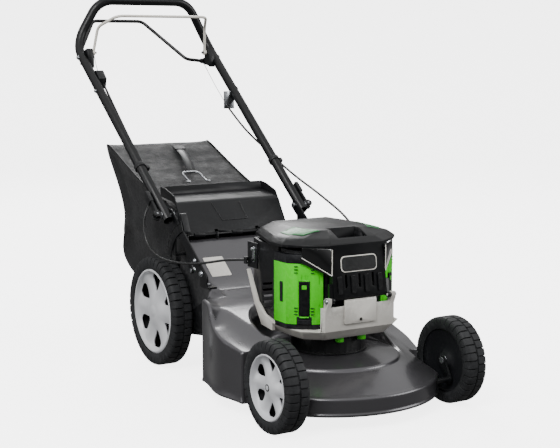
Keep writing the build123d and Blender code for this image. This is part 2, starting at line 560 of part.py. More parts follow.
def bails():
    side = [(176, OPC_Y, OPC_Z), (168, 1082, 872), (138, 1016, 901)]
    points = side + [(-x, y, z) for x, y, z in reversed(side)]
    bar = rod(points, (30, 26, 26, 30), 4)
    eye = cyl_x(7, 172, 181, OPC_Y, OPC_Z)
    bore = cyl_x(3 + RUN_FIT, -190, 190, OPC_Y, OPC_Z)
    save("stop_bail", (bar + eye + far(eye)) - bore)
    tilt = radians(DRIVE_DEG)
    flat = [(-184, 0), (-184, 50), (-112, DRIVE_REACH), (44, DRIVE_REACH), (134, 8), (184, 0)]
    points = [(x, DRIVE_Y + s * cos(tilt), DRIVE_Z + s * sin(tilt)) for x, s in flat]
    bar = rod(points, (40, 24, 24, 24), 5)
    eyes = cyl_x(7.5, 179.5, 188.5, DRIVE_Y, DRIVE_Z)
    eyes = eyes + far(eyes)
    save("drive_bail", (bar + eyes) - cyl_x(3 + RUN_FIT, -200, 200, DRIVE_Y, DRIVE_Z))


def cams():
    """Quick-release levers on the ends of the fold bolts, lying up along the legs."""
    head = Pos(CAM_X, 0, 0) * Cylinder(10, 18)
    arm = Pos(CAM_X - 2.5, 39, 0) * Box(6, 68, 15)
    grip = Pos(CAM_X - 1, 62, 0) * Box(10, 34, 19)
    fork = Pos(CAM_X, -4.5, 0) * Box(26, 20, 2 * FOLD_BOLT_R + 1)
    lever = (head + arm + grip) - fork - Pos(CAM_X, 0, 0) * Cylinder(CAM_PIN_R + RUN_FIT, 30)
    save_pair("cam_lever", along_leg() * lever)


# --- cables -------------------------------------------------------------------------------------------

def cord_radii(points):
    """Return the arc radius at each corner of a route: 0.45 of the shorter run, over tan of half the turn."""
    spots = [Vector(*p) for p in points]
    radii = []
    for a, b, c in zip(spots, spots[1:], spots[2:]):
        shorter = min((b - a).length, (c - b).length)
        radii.append(0.45 * shorter / tan(radians((b - a).get_angle(c - b)) / 2))
    return radii


def stop_route():
    return [(-184, 1014, 716), (-185, 880, 602), (-184, 742, 492), (-186, 706, 450), (-200, 682, 424),
            (-222, 672, 398), (-230, 668, 364), (-229, 654, 326), (-225, 622, 300), (-220, 576, 290),
            (-210, 520, 289), (-196, 462, 293), (-178, 408, 303), (-158, 356, 316), (-139.5, 301, 322)]


def drive_route():
    return [(178, 968, 650), (183, 905, 604), (194, 850, 566), (211, 800, 533), (220, 750, 503), (217, 680, 479),
            (211, 610, 460), (203, 535, 443), (194, 460, 424), (183, 385, 406), (168, 318, 387), (153, 276, 370),
            (143, 252, 350), (140, 244, 323.5)]


def cables():
    for name, route in (("stop_cable", stop_route()), ("drive_cable", drive_route())):
        radii = cord_radii(route)
        tube = rod(route, radii, CABLE_R)
        path = FilletPolyline(*route, radius=radii)
        print(name, "length", round(path.length), "tightest", round(min(radii)),
              "volume ratio", round(tube.volume / (path.length * pi * CABLE_R ** 2), 4))
        save(name, tube)


# --- height lever, flap, bag --------------------------------------------------------------------------

def height_control():
    ring = cyl_x(124, -188.6, -185.6, LEVER_Y, LEVER_Z) - cyl_x(98, -190, -180, LEVER_Y, LEVER_Z)
    reach = 200
    wedge = profile([(LEVER_Y, LEVER_Z)] + [(LEVER_Y + reach * cos(radians(a)), LEVER_Z + reach * sin(radians(a)))
                                            for a in (12, 42, 72)], -190, -184)
    quadrant = ring & wedge
    notches = []
    for i in range(6):
        a = radians(LEVER_DEG - 8 * i)
        notches.append(cyl_x(4, -190, -184, LEVER_Y + 124 * cos(a), LEVER_Z + 124 * sin(a)))
    save("height_quadrant", quadrant - notches)
    a = radians(LEVER_DEG)
    end_y, end_z = LEVER_Y + 137 * cos(a), LEVER_Z + 137 * sin(a)
    arm = link(LEVER_Y, LEVER_Z, end_y, end_z, 8, -181, -177) - cyl_x(5 + RUN_FIT, -190, -170, LEVER_Y, LEVER_Z)
    save("height_lever", arm)
    grip = link(LEVER_Y + 100 * cos(a), LEVER_Z + 100 * sin(a), end_y, end_z, 11, -181.4, -165)
    save("height_grip", grip - arm)


def flap():
    shell = profile([(586, 341), (634, 416), (641, 422), (650, 425), (722, 434), (726, 455), (729.5, 455),
                     (726, 430), (652, 421), (644, 418), (637, 412), (590, 338)], -152, 152)
    cheek = profile([(636, 417), (650, 424), (723, 433), (727, 455), (700, 452), (650, 437)], 149, 152)
    shell = shell + cheek + far(cheek)
    knuckles = [cyl_x(6, x - 15, x + 15, FLAP_Y, FLAP_Z) for x in (-110, 0, 110)]
    places = (-146, -60, 60, 146)
    notches = [box(x - 5, x + 5, FLAP_Y - 10, FLAP_Y + 12, 328, FLAP_Z + 11) for x in places]
    shell = shell + knuckles - cyl_x(3 + RUN_FIT, -160, 160, FLAP_Y, FLAP_Z) - notches
    save("rear_flap", largest(shell))
    ears = [box(x - 3, x + 3, FLAP_Y - 5, FLAP_Y + 5, 330, FLAP_Z + 5) for x in places]
    rod_bar = cyl_x(3, -149, 149, FLAP_Y, FLAP_Z)
    for ear in ears:
        rod_bar = rod_bar + ear
    save("flap_rod", rod_bar)


def bag():
    outer = [(644, 160), (644, 398), (800, 444), (1064, 551), (1068, 546), (1020, 486), (960, 412), (934, 352),
             (980, 292), (990, 262), (960, 222), (900, 192), (760, 168)]
    inner = [(640, 163), (640, 394), (801, 440.6), (1060, 546), (1017, 488), (957, 414), (930.5, 352),
             (976, 291), (986, 262), (958, 225), (899, 195), (760, 171)]
    body = profile(outer, -BAG_HALF, BAG_HALF) + (profile(outer, -BAG_TOP_HALF, BAG_TOP_HALF)
                                                 & box(-200, 200, 735, 1100, 300, 600))
    room = profile(inner, -BAG_HALF + 3, BAG_HALF - 3)
    save("grass_bag", body - room)
    ring = profile([(628, 158), (628, 390), (634, 398), (643.5, 398), (643.5, 158)], -149, 149)
    ring = ring - profile([(620, 172), (620, 386), (650, 386), (650, 172)], -137, 137)
    save("bag_frame", ring)
    y0, z0 = 806.0, 451.0
    rise = (551 - 444) / (1064 - 800)
    side = [(26, y0, z0 + 3.5), (26, y0 + 52, z0 + 3.5 + 52 * rise)]
    points = side + [(-x, y, z) for x, y, z in reversed(side)]
    feet = [cyl_x(2.2, *ends, y0, z0 + 3.5) for ends in ((24, 36), (-36, -24))]
    save("bag_handle", rod(points, (14, 14), 2.2) + feet)


def main():
    os.makedirs("parts", exist_ok=True)
    wheels()
    axles()
    deck()
    side_plates()
    deck_hardware()
    motor()
    tray()
    housing()
    lid()
    packs()
    linkage()
    transmission()
    handle()
    bails()
    cams()
    cables()
    height_control()
    flap()
    bag()
    print("shift", round(Y_SHIFT, 3), "nodes", len(WRITTEN))


main()
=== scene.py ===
"""Looks of the battery lawn mower: materials, pressed deck, wheels, bag, cables and small fittings.

Metres, in the frame of the CAD model. Places are given from the front wheel axle with at(x, y, z).
"""

import json
from math import atan2, cos, degrees, hypot, pi, radians, sin, sqrt

import bmesh
import bpy
from mathutils import Matrix, Vector, noise


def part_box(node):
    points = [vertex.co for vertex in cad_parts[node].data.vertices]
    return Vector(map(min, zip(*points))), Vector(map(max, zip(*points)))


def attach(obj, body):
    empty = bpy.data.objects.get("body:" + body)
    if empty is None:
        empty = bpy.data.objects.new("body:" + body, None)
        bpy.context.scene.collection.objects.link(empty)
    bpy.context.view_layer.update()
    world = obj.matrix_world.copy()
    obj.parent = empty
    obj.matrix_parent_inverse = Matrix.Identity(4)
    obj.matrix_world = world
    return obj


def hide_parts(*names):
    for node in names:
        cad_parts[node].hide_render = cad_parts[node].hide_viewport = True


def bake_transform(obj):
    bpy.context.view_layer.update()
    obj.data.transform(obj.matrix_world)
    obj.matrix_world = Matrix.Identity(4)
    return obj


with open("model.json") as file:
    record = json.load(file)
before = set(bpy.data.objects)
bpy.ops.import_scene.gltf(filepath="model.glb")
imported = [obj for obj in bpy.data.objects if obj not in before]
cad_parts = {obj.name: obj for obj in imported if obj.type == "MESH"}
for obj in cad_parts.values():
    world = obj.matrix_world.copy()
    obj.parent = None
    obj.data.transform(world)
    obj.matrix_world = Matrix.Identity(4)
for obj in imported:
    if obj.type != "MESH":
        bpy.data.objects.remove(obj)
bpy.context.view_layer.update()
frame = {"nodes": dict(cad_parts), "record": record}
NODES = frame["nodes"]

# --- driving dimensions, read from the frame ----------------------------------------------------------


def middle(node):
    lo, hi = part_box(node)
    return (lo + hi) / 2


AXLE_Y = middle("front_hub_right").y            # front wheel axle
BLADE_Y = middle("motor_pedestal").y - AXLE_Y   # blade axis behind it
RIM_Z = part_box("deck_shell")[0].z
DECK_R = BLADE_Y + AXLE_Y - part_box("deck_shell")[0].y
DECK_FRONT_HALF = 0.204                         # deck half width between the front wheels
SHEET = 0.0026


def at(x, y, z):
    """Return the point x, y, z, with y measured back from the front wheel axle."""
    return Vector((x, AXLE_Y + y, z))


def smooth(a, b, t):
    t = min(1.0, max(0.0, (t - a) / (b - a)))
    return t * t * (3 - 2 * t)


def mix(a, b, t):
    return a + (b - a) * t


def spline(points, t):
    """Return the value at t of a smooth curve through (key, value) points."""
    if t <= points[0][0]:
        return points[0][1]
    if t >= points[-1][0]:
        return points[-1][1]
    i = max(k for k in range(len(points) - 1) if points[k][0] <= t)
    (t0, v0), (t1, v1) = points[i], points[i + 1]

    def slope(k):
        lo, hi = max(k - 1, 0), min(k + 1, len(points) - 1)
        return (points[hi][1] - points[lo][1]) / (points[hi][0] - points[lo][0])

    h = t1 - t0
    s = (t - t0) / h
    a, b = slope(i) * h, slope(i + 1) * h
    return ((2 * s ** 3 - 3 * s ** 2 + 1) * v0 + (s ** 3 - 2 * s ** 2 + s) * a
            + (-2 * s ** 3 + 3 * s ** 2) * v1 + (s ** 3 - s ** 2) * b)


# --- materials ----------------------------------------------------------------------------------------

def tone(hex_code):
    """Return a linear colour from its usual hex code."""
    parts = [int(hex_code[i:i + 2], 16) / 255 for i in (0, 2, 4)]
    return [p / 12.92 if p <= 0.04045 else ((p + 0.055) / 1.055) ** 2.4 for p in parts]


class Shader:
    """A node material in the making, with its texture coordinates in metres."""

    def __init__(self, name):
        self.material = bpy.data.materials.new(name)
        self.material.use_nodes = True
        self.tree = self.material.node_tree
        self.bsdf = self.tree.nodes["Principled BSDF"]
        self.space = self.tree.nodes.new("ShaderNodeTexCoord").outputs["Object"]
        self.height = None

    def node(self, kind, **inputs):
        made = self.tree.nodes.new(kind)
        for key, value in inputs.items():
            socket = made.inputs[key.replace("_", " ")]
            if isinstance(value, bpy.types.NodeSocket):
                self.tree.links.new(value, socket)
            else:
                socket.default_value = value
        return made

    def noise(self, scale, detail=4.0, rough=0.55, stretch=None):
        space = self.space
        if stretch:
            space = self.node("ShaderNodeMapping", Vector=space, Scale=stretch).outputs["Vector"]
        made = self.node("ShaderNodeTexNoise", Vector=space, Scale=scale, Detail=detail, Roughness=rough)
        return made.outputs["Fac"]

    def ramp(self, value, low, high, out_low=0.0, out_high=1.0):
        made = self.node("ShaderNodeMapRange")
        made.clamp = True
        for index, number in enumerate((low, high, out_low, out_high), 1):
            made.inputs[index].default_value = number
        self.tree.links.new(value, made.inputs[0])
        return made.outputs[0]

    def blend(self, factor, a, b):
        made = self.tree.nodes.new("ShaderNodeMix")
        made.data_type = "RGBA"
        self.tree.links.new(factor, made.inputs["Factor"])
        for index, value in ((6, a), (7, b)):
            if isinstance(value, bpy.types.NodeSocket):
                self.tree.links.new(value, made.inputs[index])
            else:
                made.inputs[index].default_value = (*value, 1.0)
        return made.outputs[2]

    def bump(self, value, depth, strength=1.0):
        made = self.node("ShaderNodeBump", Height=value, Distance=depth, Strength=strength)
        if self.height:
            self.tree.links.new(self.height, made.inputs["Normal"])
        self.height = made.outputs["Normal"]
        self.tree.links.new(self.height, self.bsdf.inputs["Normal"])

    def link(self, socket, value):
        self.tree.links.new(value, self.bsdf.inputs[socket])

    def set(self, **values):
        for key, value in values.items():
            self.bsdf.inputs[key.replace("_", " ")].default_value = value
        return self


def moulded(name, colour, rough, grain=900.0, depth=0.00006, vary=0.18, metal=0.0, coat=0.0, worn=None,
            specular=0.5):
    """Moulded plastic or powder coat: fine grain, cloudy colour, handling marks and paler worn edges."""
    s = Shader(name)
    base = tone(colour)
    cloud = s.ramp(s.noise(9.0, 5.0), 0.3, 0.7)
    shade = s.blend(cloud, [c * (1 - vary) for c in base], [min(1.0, c * (1 + vary)) for c in base])
    edge = s.ramp(s.node("ShaderNodeNewGeometry").outputs["Pointiness"], 0.52, 0.62)
    scuff = s.node("ShaderNodeMath", Value=edge)
    scuff.operation = "MULTIPLY"
    s.tree.links.new(s.ramp(s.noise(140.0, 3.0), 0.45, 0.65), scuff.inputs[1])
    pale = tone(worn) if worn else [min(1.0, c * 1.7 + 0.02) for c in base]
    s.link("Base Color", s.blend(scuff.outputs[0], shade, pale))
    s.link("Roughness", s.ramp(s.noise(26.0, 6.0), 0.3, 0.7, rough * 0.82, min(1.0, rough * 1.2)))
    s.bump(s.noise(grain, 2.0), depth)
    return s.set(Metallic=metal, Coat_Weight=coat, Coat_Roughness=0.08, Specular_IOR_Level=specular).material


def metallic_paint(name, colour, rough):
    """Two-coat metallic paint: flakes under a clear coat and a trace of orange peel."""
    s = Shader(name)
    base = tone(colour)
    flake = s.node("ShaderNodeTexVoronoi", Vector=s.space, Scale=1800.0).outputs["Color"]
    flake = s.ramp(flake, 0.0, 1.0)
    shade = s.blend(flake, [c * 0.8 for c in base], [c * 1.25 for c in base])
    cloud = s.ramp(s.noise(5.0, 3.0), 0.35, 0.65)
    shade = s.blend(cloud, shade, base)
    s.link("Base Color", shade)
    s.link("Roughness", s.ramp(s.noise(18.0, 6.0), 0.3, 0.7, rough * 0.85, rough * 1.15))
    s.bump(s.noise(260.0, 1.0), 0.00003)
    return s.set(Metallic=0.62, Coat_Weight=0.55, Coat_Roughness=0.12, Specular_IOR_Level=0.5).material


def plated(name, colour, rough, scale=420.0):
    """Zinc plate or machined metal with a faint spangle and fine scratches."""
    s = Shader(name)
    base = tone(colour)
    cell = s.ramp(s.node("ShaderNodeTexVoronoi", Vector=s.space, Scale=scale).outputs["Color"], 0.0, 1.0)
    s.link("Base Color", s.blend(cell, [c * 0.82 for c in base], base))
    s.link("Roughness", s.ramp(s.noise(90.0, 6.0, 0.7), 0.3, 0.7, rough * 0.7, rough * 1.4))
    s.bump(s.noise(1500.0, 2.0, 0.5, (1, 1, 0.08)), 0.00002)
    return s.set(Metallic=1.0).material


def rubber(name, colour):
    """Tyre or belt rubber: matt, mottled, with dry dust in the pores."""
    s = Shader(name)
    base = tone(colour)
    dust = s.ramp(s.noise(60.0, 7.0, 0.7), 0.45, 0.75)
    s.link("Base Color", s.blend(dust, base, [c * 1.6 + 0.012 for c in base]))
    s.link("Roughness", s.ramp(s.noise(30.0, 5.0), 0.3, 0.7, 0.55, 0.8))
    s.bump(s.noise(700.0, 3.0), 0.0002)
    return s.set(Specular_IOR_Level=0.35).material


def clear(name, colour, rough, transmission, coat=0.6):
    """Tinted transparent plastic with light scratches."""
    s = Shader(name)
    base = tone(colour)
    s.link("Base Color", s.blend(s.ramp(s.noise(12.0, 4.0), 0.3, 0.7), [c * 0.75 for c in base], base))
    s.link("Roughness", s.ramp(s.noise(80.0, 7.0, 0.75), 0.4, 0.7, rough, rough * 2.2))
    return s.set(Transmission_Weight=transmission, IOR=1.49, Coat_Weight=coat, Coat_Roughness=0.04).material


def cloth(name, colour):
    """Coated polyester cloth: a plain weave of half-millimetre threads, soft creases and a slight sheen."""
    s = Shader(name)
    base = tone(colour)
    cloud = s.ramp(s.noise(7.0, 5.0), 0.3, 0.7)
    s.link("Base Color", s.blend(cloud, [c * 0.75 for c in base], [c * 1.35 for c in base]))
    s.link("Roughness", s.ramp(s.noise(40.0, 5.0), 0.3, 0.7, 0.5, 0.75))
    s.bump(s.noise(14.0, 5.0, 0.6, (0.6, 1.0, 1.8)), 0.006, 0.6)
    for direction in ("X", "Z"):
        wave = s.node("ShaderNodeTexWave", Vector=s.space, Scale=300.0, Distortion=0.8)
        wave.bands_direction = direction
        s.bump(wave.outputs["Fac"], 0.00012)
    return s.set(Sheen_Weight=0.1, Sheen_Roughness=0.5, Specular_IOR_Level=0.3).material


def circuit(name):
    """Solder-resist green with copper traces."""
    s = Shader(name)
    cell = s.node("ShaderNodeTexVoronoi", Vector=s.space, Scale=160.0)
    cell.feature = "DISTANCE_TO_EDGE"
    trace = s.ramp(cell.outputs["Distance"], 0.05, 0.09)
    s.link("Base Color", s.blend(trace, tone("9a8a48"), tone("14482a")))
    s.bump(trace, 0.00008)
    return s.set(Roughness=0.35).material


def make_materials():
    """Return one material for each material slot of the record."""
    return {
        "deck_paint": metallic_paint("deck_paint", "4e4d50", 0.32),
        "black_paint": moulded("black_paint", "0b0c0e", 0.36, 1400.0, 0.00004, specular=0.35),
        "zinc": plated("zinc", "c3c6ca", 0.26),
        "blade_steel": plated("blade_steel", "7c7d80", 0.35),
        "motor_iron": plated("motor_iron", "5a5855", 0.45),
        "pulley_alloy": plated("pulley_alloy", "a2a4a8", 0.3),
        "belt_rubber": rubber("belt_rubber", "1d1d1f"),
        "gear_case": moulded("gear_case", "2c2d30", 0.5),
        "tray_plastic": moulded("tray_plastic", "c8c5be", 0.46, worn="e0ded8"),
        "cover_plastic": moulded("cover_plastic", "c5c2bb", 0.42, worn="e0ded8"),
        "knob_green": moulded("knob_green", "44c818", 0.35),
        "head_plastic": moulded("head_plastic", "0d0e10", 0.42, specular=0.3),
        "lid_plastic": moulded("lid_plastic", "0a0b0d", 0.34, depth=0.00002, coat=0.0, specular=0.3),
        "pane_smoke": clear("pane_smoke", "050607", 0.05, 0.0),
        "window_green": clear("window_green", "1f7a3a", 0.30, 0.1, coat=0.1),
        "pack_green": moulded("pack_green", "48e414", 0.34, vary=0.06, worn="74f04c", specular=0.25),
        "pack_black": moulded("pack_black", "141518", 0.48, specular=0.28),
        "circuit": circuit("circuit"),
        "contact_brass": plated("contact_brass", "c8a050", 0.25),
        "tyre_rubber": rubber("tyre_rubber", "1c1d1f"),
        "hub_plastic": moulded("hub_plastic", "cfd0d3", 0.36, metal=0.1, vary=0.06, worn="e9e9eb"),
        "bail_cream": moulded("bail_cream", "e6e2d8", 0.35, vary=0.05),
        "bail_black": moulded("bail_black", "0e0f11", 0.3, specular=0.4),
        "trim_black": moulded("trim_black", "111214", 0.42, specular=0.35),
        "bag_cloth": cloth("bag_cloth", "0d0e10"),
        "bag_plastic": moulded("bag_plastic", "17181b", 0.5, specular=0.28),
        "flap_plastic": moulded("flap_plastic", "111214", 0.44, specular=0.28),
        "cable_sheath": moulded("cable_sheath", "0e0f10", 0.4),
    }


MATERIALS = make_materials()


def dress_cad():
    """Give each carried-over CAD node its material, and rounded edges by welding and bevelling."""
    for row in frame["record"]["subparts"]:
        node = NODES[row["node"]]
        node.data.materials.clear()
        node.data.materials.append(MATERIALS[row["material_slot"]])
        weld = node.modifiers.new("weld", "WELD")
        weld.merge_threshold = 0.00002
        bevel = node.modifiers.new("bevel", "BEVEL")
        bevel.width = 0.0009
        bevel.segments = 2
        bevel.limit_method = "ANGLE"
        bevel.angle_limit = radians(32)
        bevel.harden_normals = True
        for face in node.data.polygons:
            face.use_smooth = True


# --- mesh helpers -------------------------------------------------------------------------------------

def finish_piece(piece, body, slot, bevel=0.0, sharp=35.0):
    """Give a new piece its material, its smooth shading and the body that it rides on."""
    piece.data.materials.append(MATERIALS[slot])
    for face in piece.data.polygons:
        face.use_smooth = True
    if bevel:
        rounding = piece.modifiers.new("bevel", "BEVEL")
        rounding.width = bevel
        rounding.segments = 2
        rounding.limit_method = "ANGLE"
        rounding.angle_limit = radians(sharp)
        rounding.harden_normals = True
    if body:
        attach(piece, body)
    return piece


def from_mesh(name, points, faces):
    mesh = bpy.data.meshes.new(name)
    mesh.from_pydata([tuple(p) for p in points], [], faces)
    bm = bmesh.new()
    bm.from_mesh(mesh)
    bmesh.ops.remove_doubles(bm, verts=bm.verts, dist=1e-6)
    bmesh.ops.recalc_face_normals(bm, faces=bm.faces)
    bm.to_mesh(mesh)
    bm.free()
    piece = bpy.data.objects.new(name, mesh)
    bpy.context.scene.collection.objects.link(piece)
    return piece


def grid(name, columns, around=False, keep=None):
    """Return a mesh of quads through columns of points; around closes the last column to the first."""
    rows = len(columns[0])
    count = len(columns)
    points = [p for column in columns for p in column]
    faces = []
    for i in range(count if around else count - 1):
        for j in range(rows - 1):
            if keep and not keep(i, j):
                continue
            k = (i + 1) % count
            faces.append((i * rows + j, k * rows + j, k * rows + j + 1, i * rows + j + 1))
    return from_mesh(name, points, faces)


def lathe(name, outline, place, segments=48):
    """Turn an outline of (radius, height) about the Z axis of place."""
    columns = []
    for i in range(segments):
        a = 2 * pi * i / segments
        columns.append([place @ Vector((r * cos(a), r * sin(a), h)) for r, h in outline])
    return grid(name, columns, around=True)


def slab(name, outline, thickness, place):
    """Extrude a flat outline (x, y) by thickness along the Z axis of place."""
    n = len(outline)
    points = [place @ Vector((x, y, z)) for z in (0.0, thickness) for x, y in outline]
    faces = [tuple(range(n)), tuple(range(n, 2 * n))]
    faces += [(i, (i + 1) % n, n + (i + 1) % n, n + i) for i in range(n)]
    return from_mesh(name, points, faces)


def rounded(width, height, radius, steps=4):
    """Return the outline of a rectangle with round corners, about its middle."""
    points = []
    for cx, cy, start in ((1, 1, 0), (-1, 1, 90), (-1, -1, 180), (1, -1, 270)):
        for k in range(steps + 1):
            a = radians(start + 90 * k / steps)
            points.append((cx * (width / 2 - radius) + radius * cos(a),
                           cy * (height / 2 - radius) + radius * sin(a)))
    return points


def tube(name, points, radius, order=3, resolution=8):
    """Return a round tube mesh along a smooth line through its control points."""
    curve = bpy.data.curves.new(name, "CURVE")
    curve.dimensions = "3D"
    curve.bevel_depth = radius
    curve.bevel_resolution = 4
    curve.use_fill_caps = True
    line = curve.splines.new("NURBS")
    line.points.add(len(points) - 1)
    for spot, point in zip(line.points, points):
        spot.co = (*point, 1.0)
    line.order_u = order
    line.use_endpoint_u = True
    line.resolution_u = resolution
    draft = bpy.data.objects.new(name + "_draft", curve)
    bpy.context.scene.collection.objects.link(draft)
    bpy.context.view_layer.update()
    mesh = bpy.data.meshes.new_from_object(draft.evaluated_get(bpy.context.evaluated_depsgraph_get()))
    bpy.data.objects.remove(draft)
    piece = bpy.data.objects.new(name, mesh)
    bpy.context.scene.collection.objects.link(piece)
    return piece


def facing(point, normal, up=(0, 0, 1)):
    """Return the place at a point whose Z axis is the normal and whose Y axis is as near up as can be."""
    z = Vector(normal).normalized()
    x = Vector(up).cross(z).normalized()
    y = z.cross(x)
    return Matrix(((x.x, y.x, z.x, point[0]), (x.y, y.y, z.y, point[1]), (x.z, y.z, z.z, point[2]),
                   (0, 0, 0, 1)))


def join(name, pieces):
    """Join pieces into one mesh object."""
    mesh = bpy.data.meshes.new(name)
    bm = bmesh.new()
    for piece in pieces:
        bm.from_mesh(piece.data)
        bpy.data.objects.remove(piece)
    bm.to_mesh(mesh)
    bm.free()
    made = bpy.data.objects.new(name, mesh)
    bpy.context.scene.collection.objects.link(made)
    return made


def hex_bolt(name, place, radius):
    """Return a hexagon head on a washer, with a low crest on its top."""
    rim = radius * 1.45
    washer = lathe(name + "_w", [(0, 0), (rim, 0), (rim, radius * 0.22), (0, radius * 0.22)], place, 32)
    head = []
    for i in range(6):
        a = radians(60 * i)
        head.append((radius * cos(a), radius * sin(a)))
    body = slab(name + "_h", head, radius * 0.7, place @ Matrix.Translation((0, 0, radius * 0.2)))
    crest = [(0, radius * 0.93), (radius * 0.4, radius * 0.93), (radius * 0.75, radius * 0.9)]
    top = lathe(name + "_t", crest, place, 24)
    return join(name, [washer, body, top])


# --- deck ---------------------------------------------------------------------------------------------

WALL_TOP_X = [(0.113, 0.244), (0.141, 0.252), (0.173, 0.257), (0.205, 0.259), (0.245, 0.257), (0.302, 0.246)]
WALL_TOP_Z = [(0.113, 0.146), (0.141, 0.150), (0.173, 0.156), (0.205, 0.164), (0.245, 0.177), (0.270, 0.186),
              (0.291, 0.208), (0.306, 0.232), (0.325, 0.241), (0.440, 0.240)]
FLAT_Z = [(0.100, 0.172), (0.145, 0.180), (0.220, 0.195), (0.310, 0.212), (0.370, 0.218), (0.420, 0.226),
          (0.440, 0.231), (0.478, 0.248), (0.540, 0.294), (0.590, 0.330)]
CALM_Z = [(0.050, 0.094), (0.101, 0.112), (0.198, 0.122), (0.300, 0.160), (0.420, 0.236), (0.440, 0.238)]
RIDGE_X = [(0.145, 0.176), (0.220, 0.186), (0.310, 0.191), (0.420, 0.192)]


def crown(r):
    """Return the height of the round part of the deck at a distance from the blade axis."""
    if r < 0.164:
        return mix(0.126, 0.1125, smooth(0.0, 1.0, max(0.0, (r - 0.08) / 0.168)) * 2)
    if r < 0.168:
        return mix(0.1125, 0.1062, smooth(0.164, 0.168, r))
    return mix(0.1062, 0.070, (r - 0.168) / (DECK_R - 0.168))


def deck_height(x, y):
    """Return the height of the deck's sheet at x, y."""
    r = hypot(x, y - BLADE_Y)
    round_z = crown(r)
    flat = spline(FLAT_Z, y)
    if x < 0:
        ridge, edge = spline(RIDGE_X, y), spline(WALL_TOP_X, y)
        t = min(1.0, max(0.0, (-x - ridge) / max(0.02, edge - ridge)))
        side = mix(flat, spline(WALL_TOP_Z, y), t ** 1.15) - 0.010 * sin(pi * t) * smooth(0.36, 0.28, y)
        rise = smooth(0.045, 0.125, y)
    else:
        t = smooth(0.150, 0.215, x)
        side = mix(flat, min(flat, spline(CALM_Z, y)), t)
        side = mix(side, min(side, 0.118), smooth(0.26, 0.12, y) * smooth(0.10, 0.19, x))
        rise = smooth(0.06, 0.20, y)
    outside = mix(round_z, max(round_z, side), rise)
    height = mix(round_z, outside, smooth(0.170, 0.180, r))
    pad = smooth(0.145, 0.155, abs(x)) * smooth(0.198, 0.190, abs(x)) * smooth(0.392, 0.402, y)
    return mix(height, 0.2383, pad)


def arc_points(centre, radius, start, end, steps):
    """Return points along an arc in plan, from one angle to another in degrees."""
    return [(centre[0] + radius * cos(radians(mix(start, end, k / steps))),
             centre[1] + radius * sin(radians(mix(start, end, k / steps)))) for k in range(steps + 1)]


def run_points(points, step=0.006):
    """Return points spaced along straight runs."""
    out = []
    for (x0, y0), (x1, y1) in zip(points, points[1:]):
        n = max(1, round(hypot(x1 - x0, y1 - y0) / step))
        out += [(mix(x0, x1, k / n), mix(y0, y1, k / n)) for k in range(n)]
    return out + [points[-1]]


def deck_outline():
    """Return the plan outline of the deck, from the front round the operator's left side."""
    nose = degrees(atan2(DECK_FRONT_HALF, sqrt(DECK_R ** 2 - DECK_FRONT_HALF ** 2)))
    front = arc_points((0, BLADE_Y), DECK_R, -90, -90 + nose, 28)
    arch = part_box("front_tyre_left")[1].y - AXLE_Y + 0.026
    corner = run_points([front[-1], (DECK_FRONT_HALF, arch - 0.012), (DECK_FRONT_HALF + 0.012, arch)])
    flare = []
    for k in range(40):
        y = mix(arch + 0.003, 0.350, k / 39)
        swell = 0.013 * sin(pi * smooth(arch, 0.300, y) * 0.55)
        flare.append((0.246 + swell - 0.030 * smooth(0.20, 0.355, y), y))
    tail = run_points([flare[-1], (0.205, 0.385), (0.142, 0.440), (0.0, 0.440)])
    right = front + corner[1:] + run_points([corner[-1], flare[0]])[1:] + flare[1:] + tail[1:]
    left = [(-x, y) for x, y in reversed(right)]
    return right + left[1:-1]


def deck_sheet():
    """Press the deck: a height field inside its outline, a rounded shoulder, a wall and a rolled rim."""
    fixed = [0.030, 0.050, 0.0705, 0.0805, 0.090, 0.101, 0.112, 0.124, 0.136, 0.146, 0.154, 0.160, 0.164,
             0.166, 0.168, 0.170, 0.173, 0.1765, 0.180]
    shoulder_r = 0.007
    columns = []
    for px, py in deck_outline():
        out = Vector((px, py - BLADE_Y))
        reach = out.length
        out.normalize()
        radii = fixed + [mix(fixed[-1], reach - shoulder_r, (k + 1) / 16) for k in range(16)]
        column = []
        for r in radii:
            x, y = out.x * r, BLADE_Y + out.y * r
            column.append((x, y, deck_height(x, y)))
        top = column[-1][2]
        for k in range(1, 6):
            a = radians(18 * k)
            r = reach - shoulder_r + shoulder_r * sin(a)
            column.append((out.x * r, BLADE_Y + out.y * r, top - shoulder_r * (1 - cos(a))))
        wall_top = column[-1][2]
        for k in range(1, 8):
            column.append((px, py, mix(wall_top, RIM_Z + 0.008, k / 7)))
        for k in range(1, 6):
            a = radians(90 - 45 * k)
            r = reach + 0.0016 * cos(a) + 0.0002
            column.append((out.x * r, BLADE_Y + out.y * r, RIM_Z + 0.0045 + 0.0035 * sin(a)))
        columns.append([at(*p) for p in column])

    def keep(i, j):
        p = columns[i][j]
        return not (abs(p.x) < 0.136 and p.y > AXLE_Y + 0.4385 and 0.10 < p.z < 0.215)

    deck = grid("deck_sheet", columns, around=True, keep=keep)
    thick = deck.modifiers.new("sheet", "SOLIDIFY")
    thick.thickness = SHEET
    thick.offset = -1
    finish_piece(deck, "chassis", "deck_paint")
    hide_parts("deck_shell")
    return deck


def chute():
    """The discharge chute: a rounded duct that climbs from the deck to the rear flap."""
    half, corner = 0.1485, 0.012
    low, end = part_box("rear_flap")[0].y - AXLE_Y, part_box("deck_shell")[1].y - AXLE_Y
    columns = []
    for k in range(25):
        y = mix(0.422, end, k / 24)
        top = min(spline(FLAT_Z, y), 0.3295)
        floor = mix(0.102, 0.151, smooth(0.44, low, y))
        ring = []
        outline = rounded(2 * half, top - floor, corner)
        for x, z in outline + outline[:1]:
            ring.append(at(x, y, (top + floor) / 2 + z))
        columns.append(ring)
    duct = grid("deck_chute", columns)
    thick = duct.modifiers.new("sheet", "SOLIDIFY")
    thick.thickness = SHEET
    thick.offset = -1
    return finish_piece(duct, "chassis", "deck_paint")


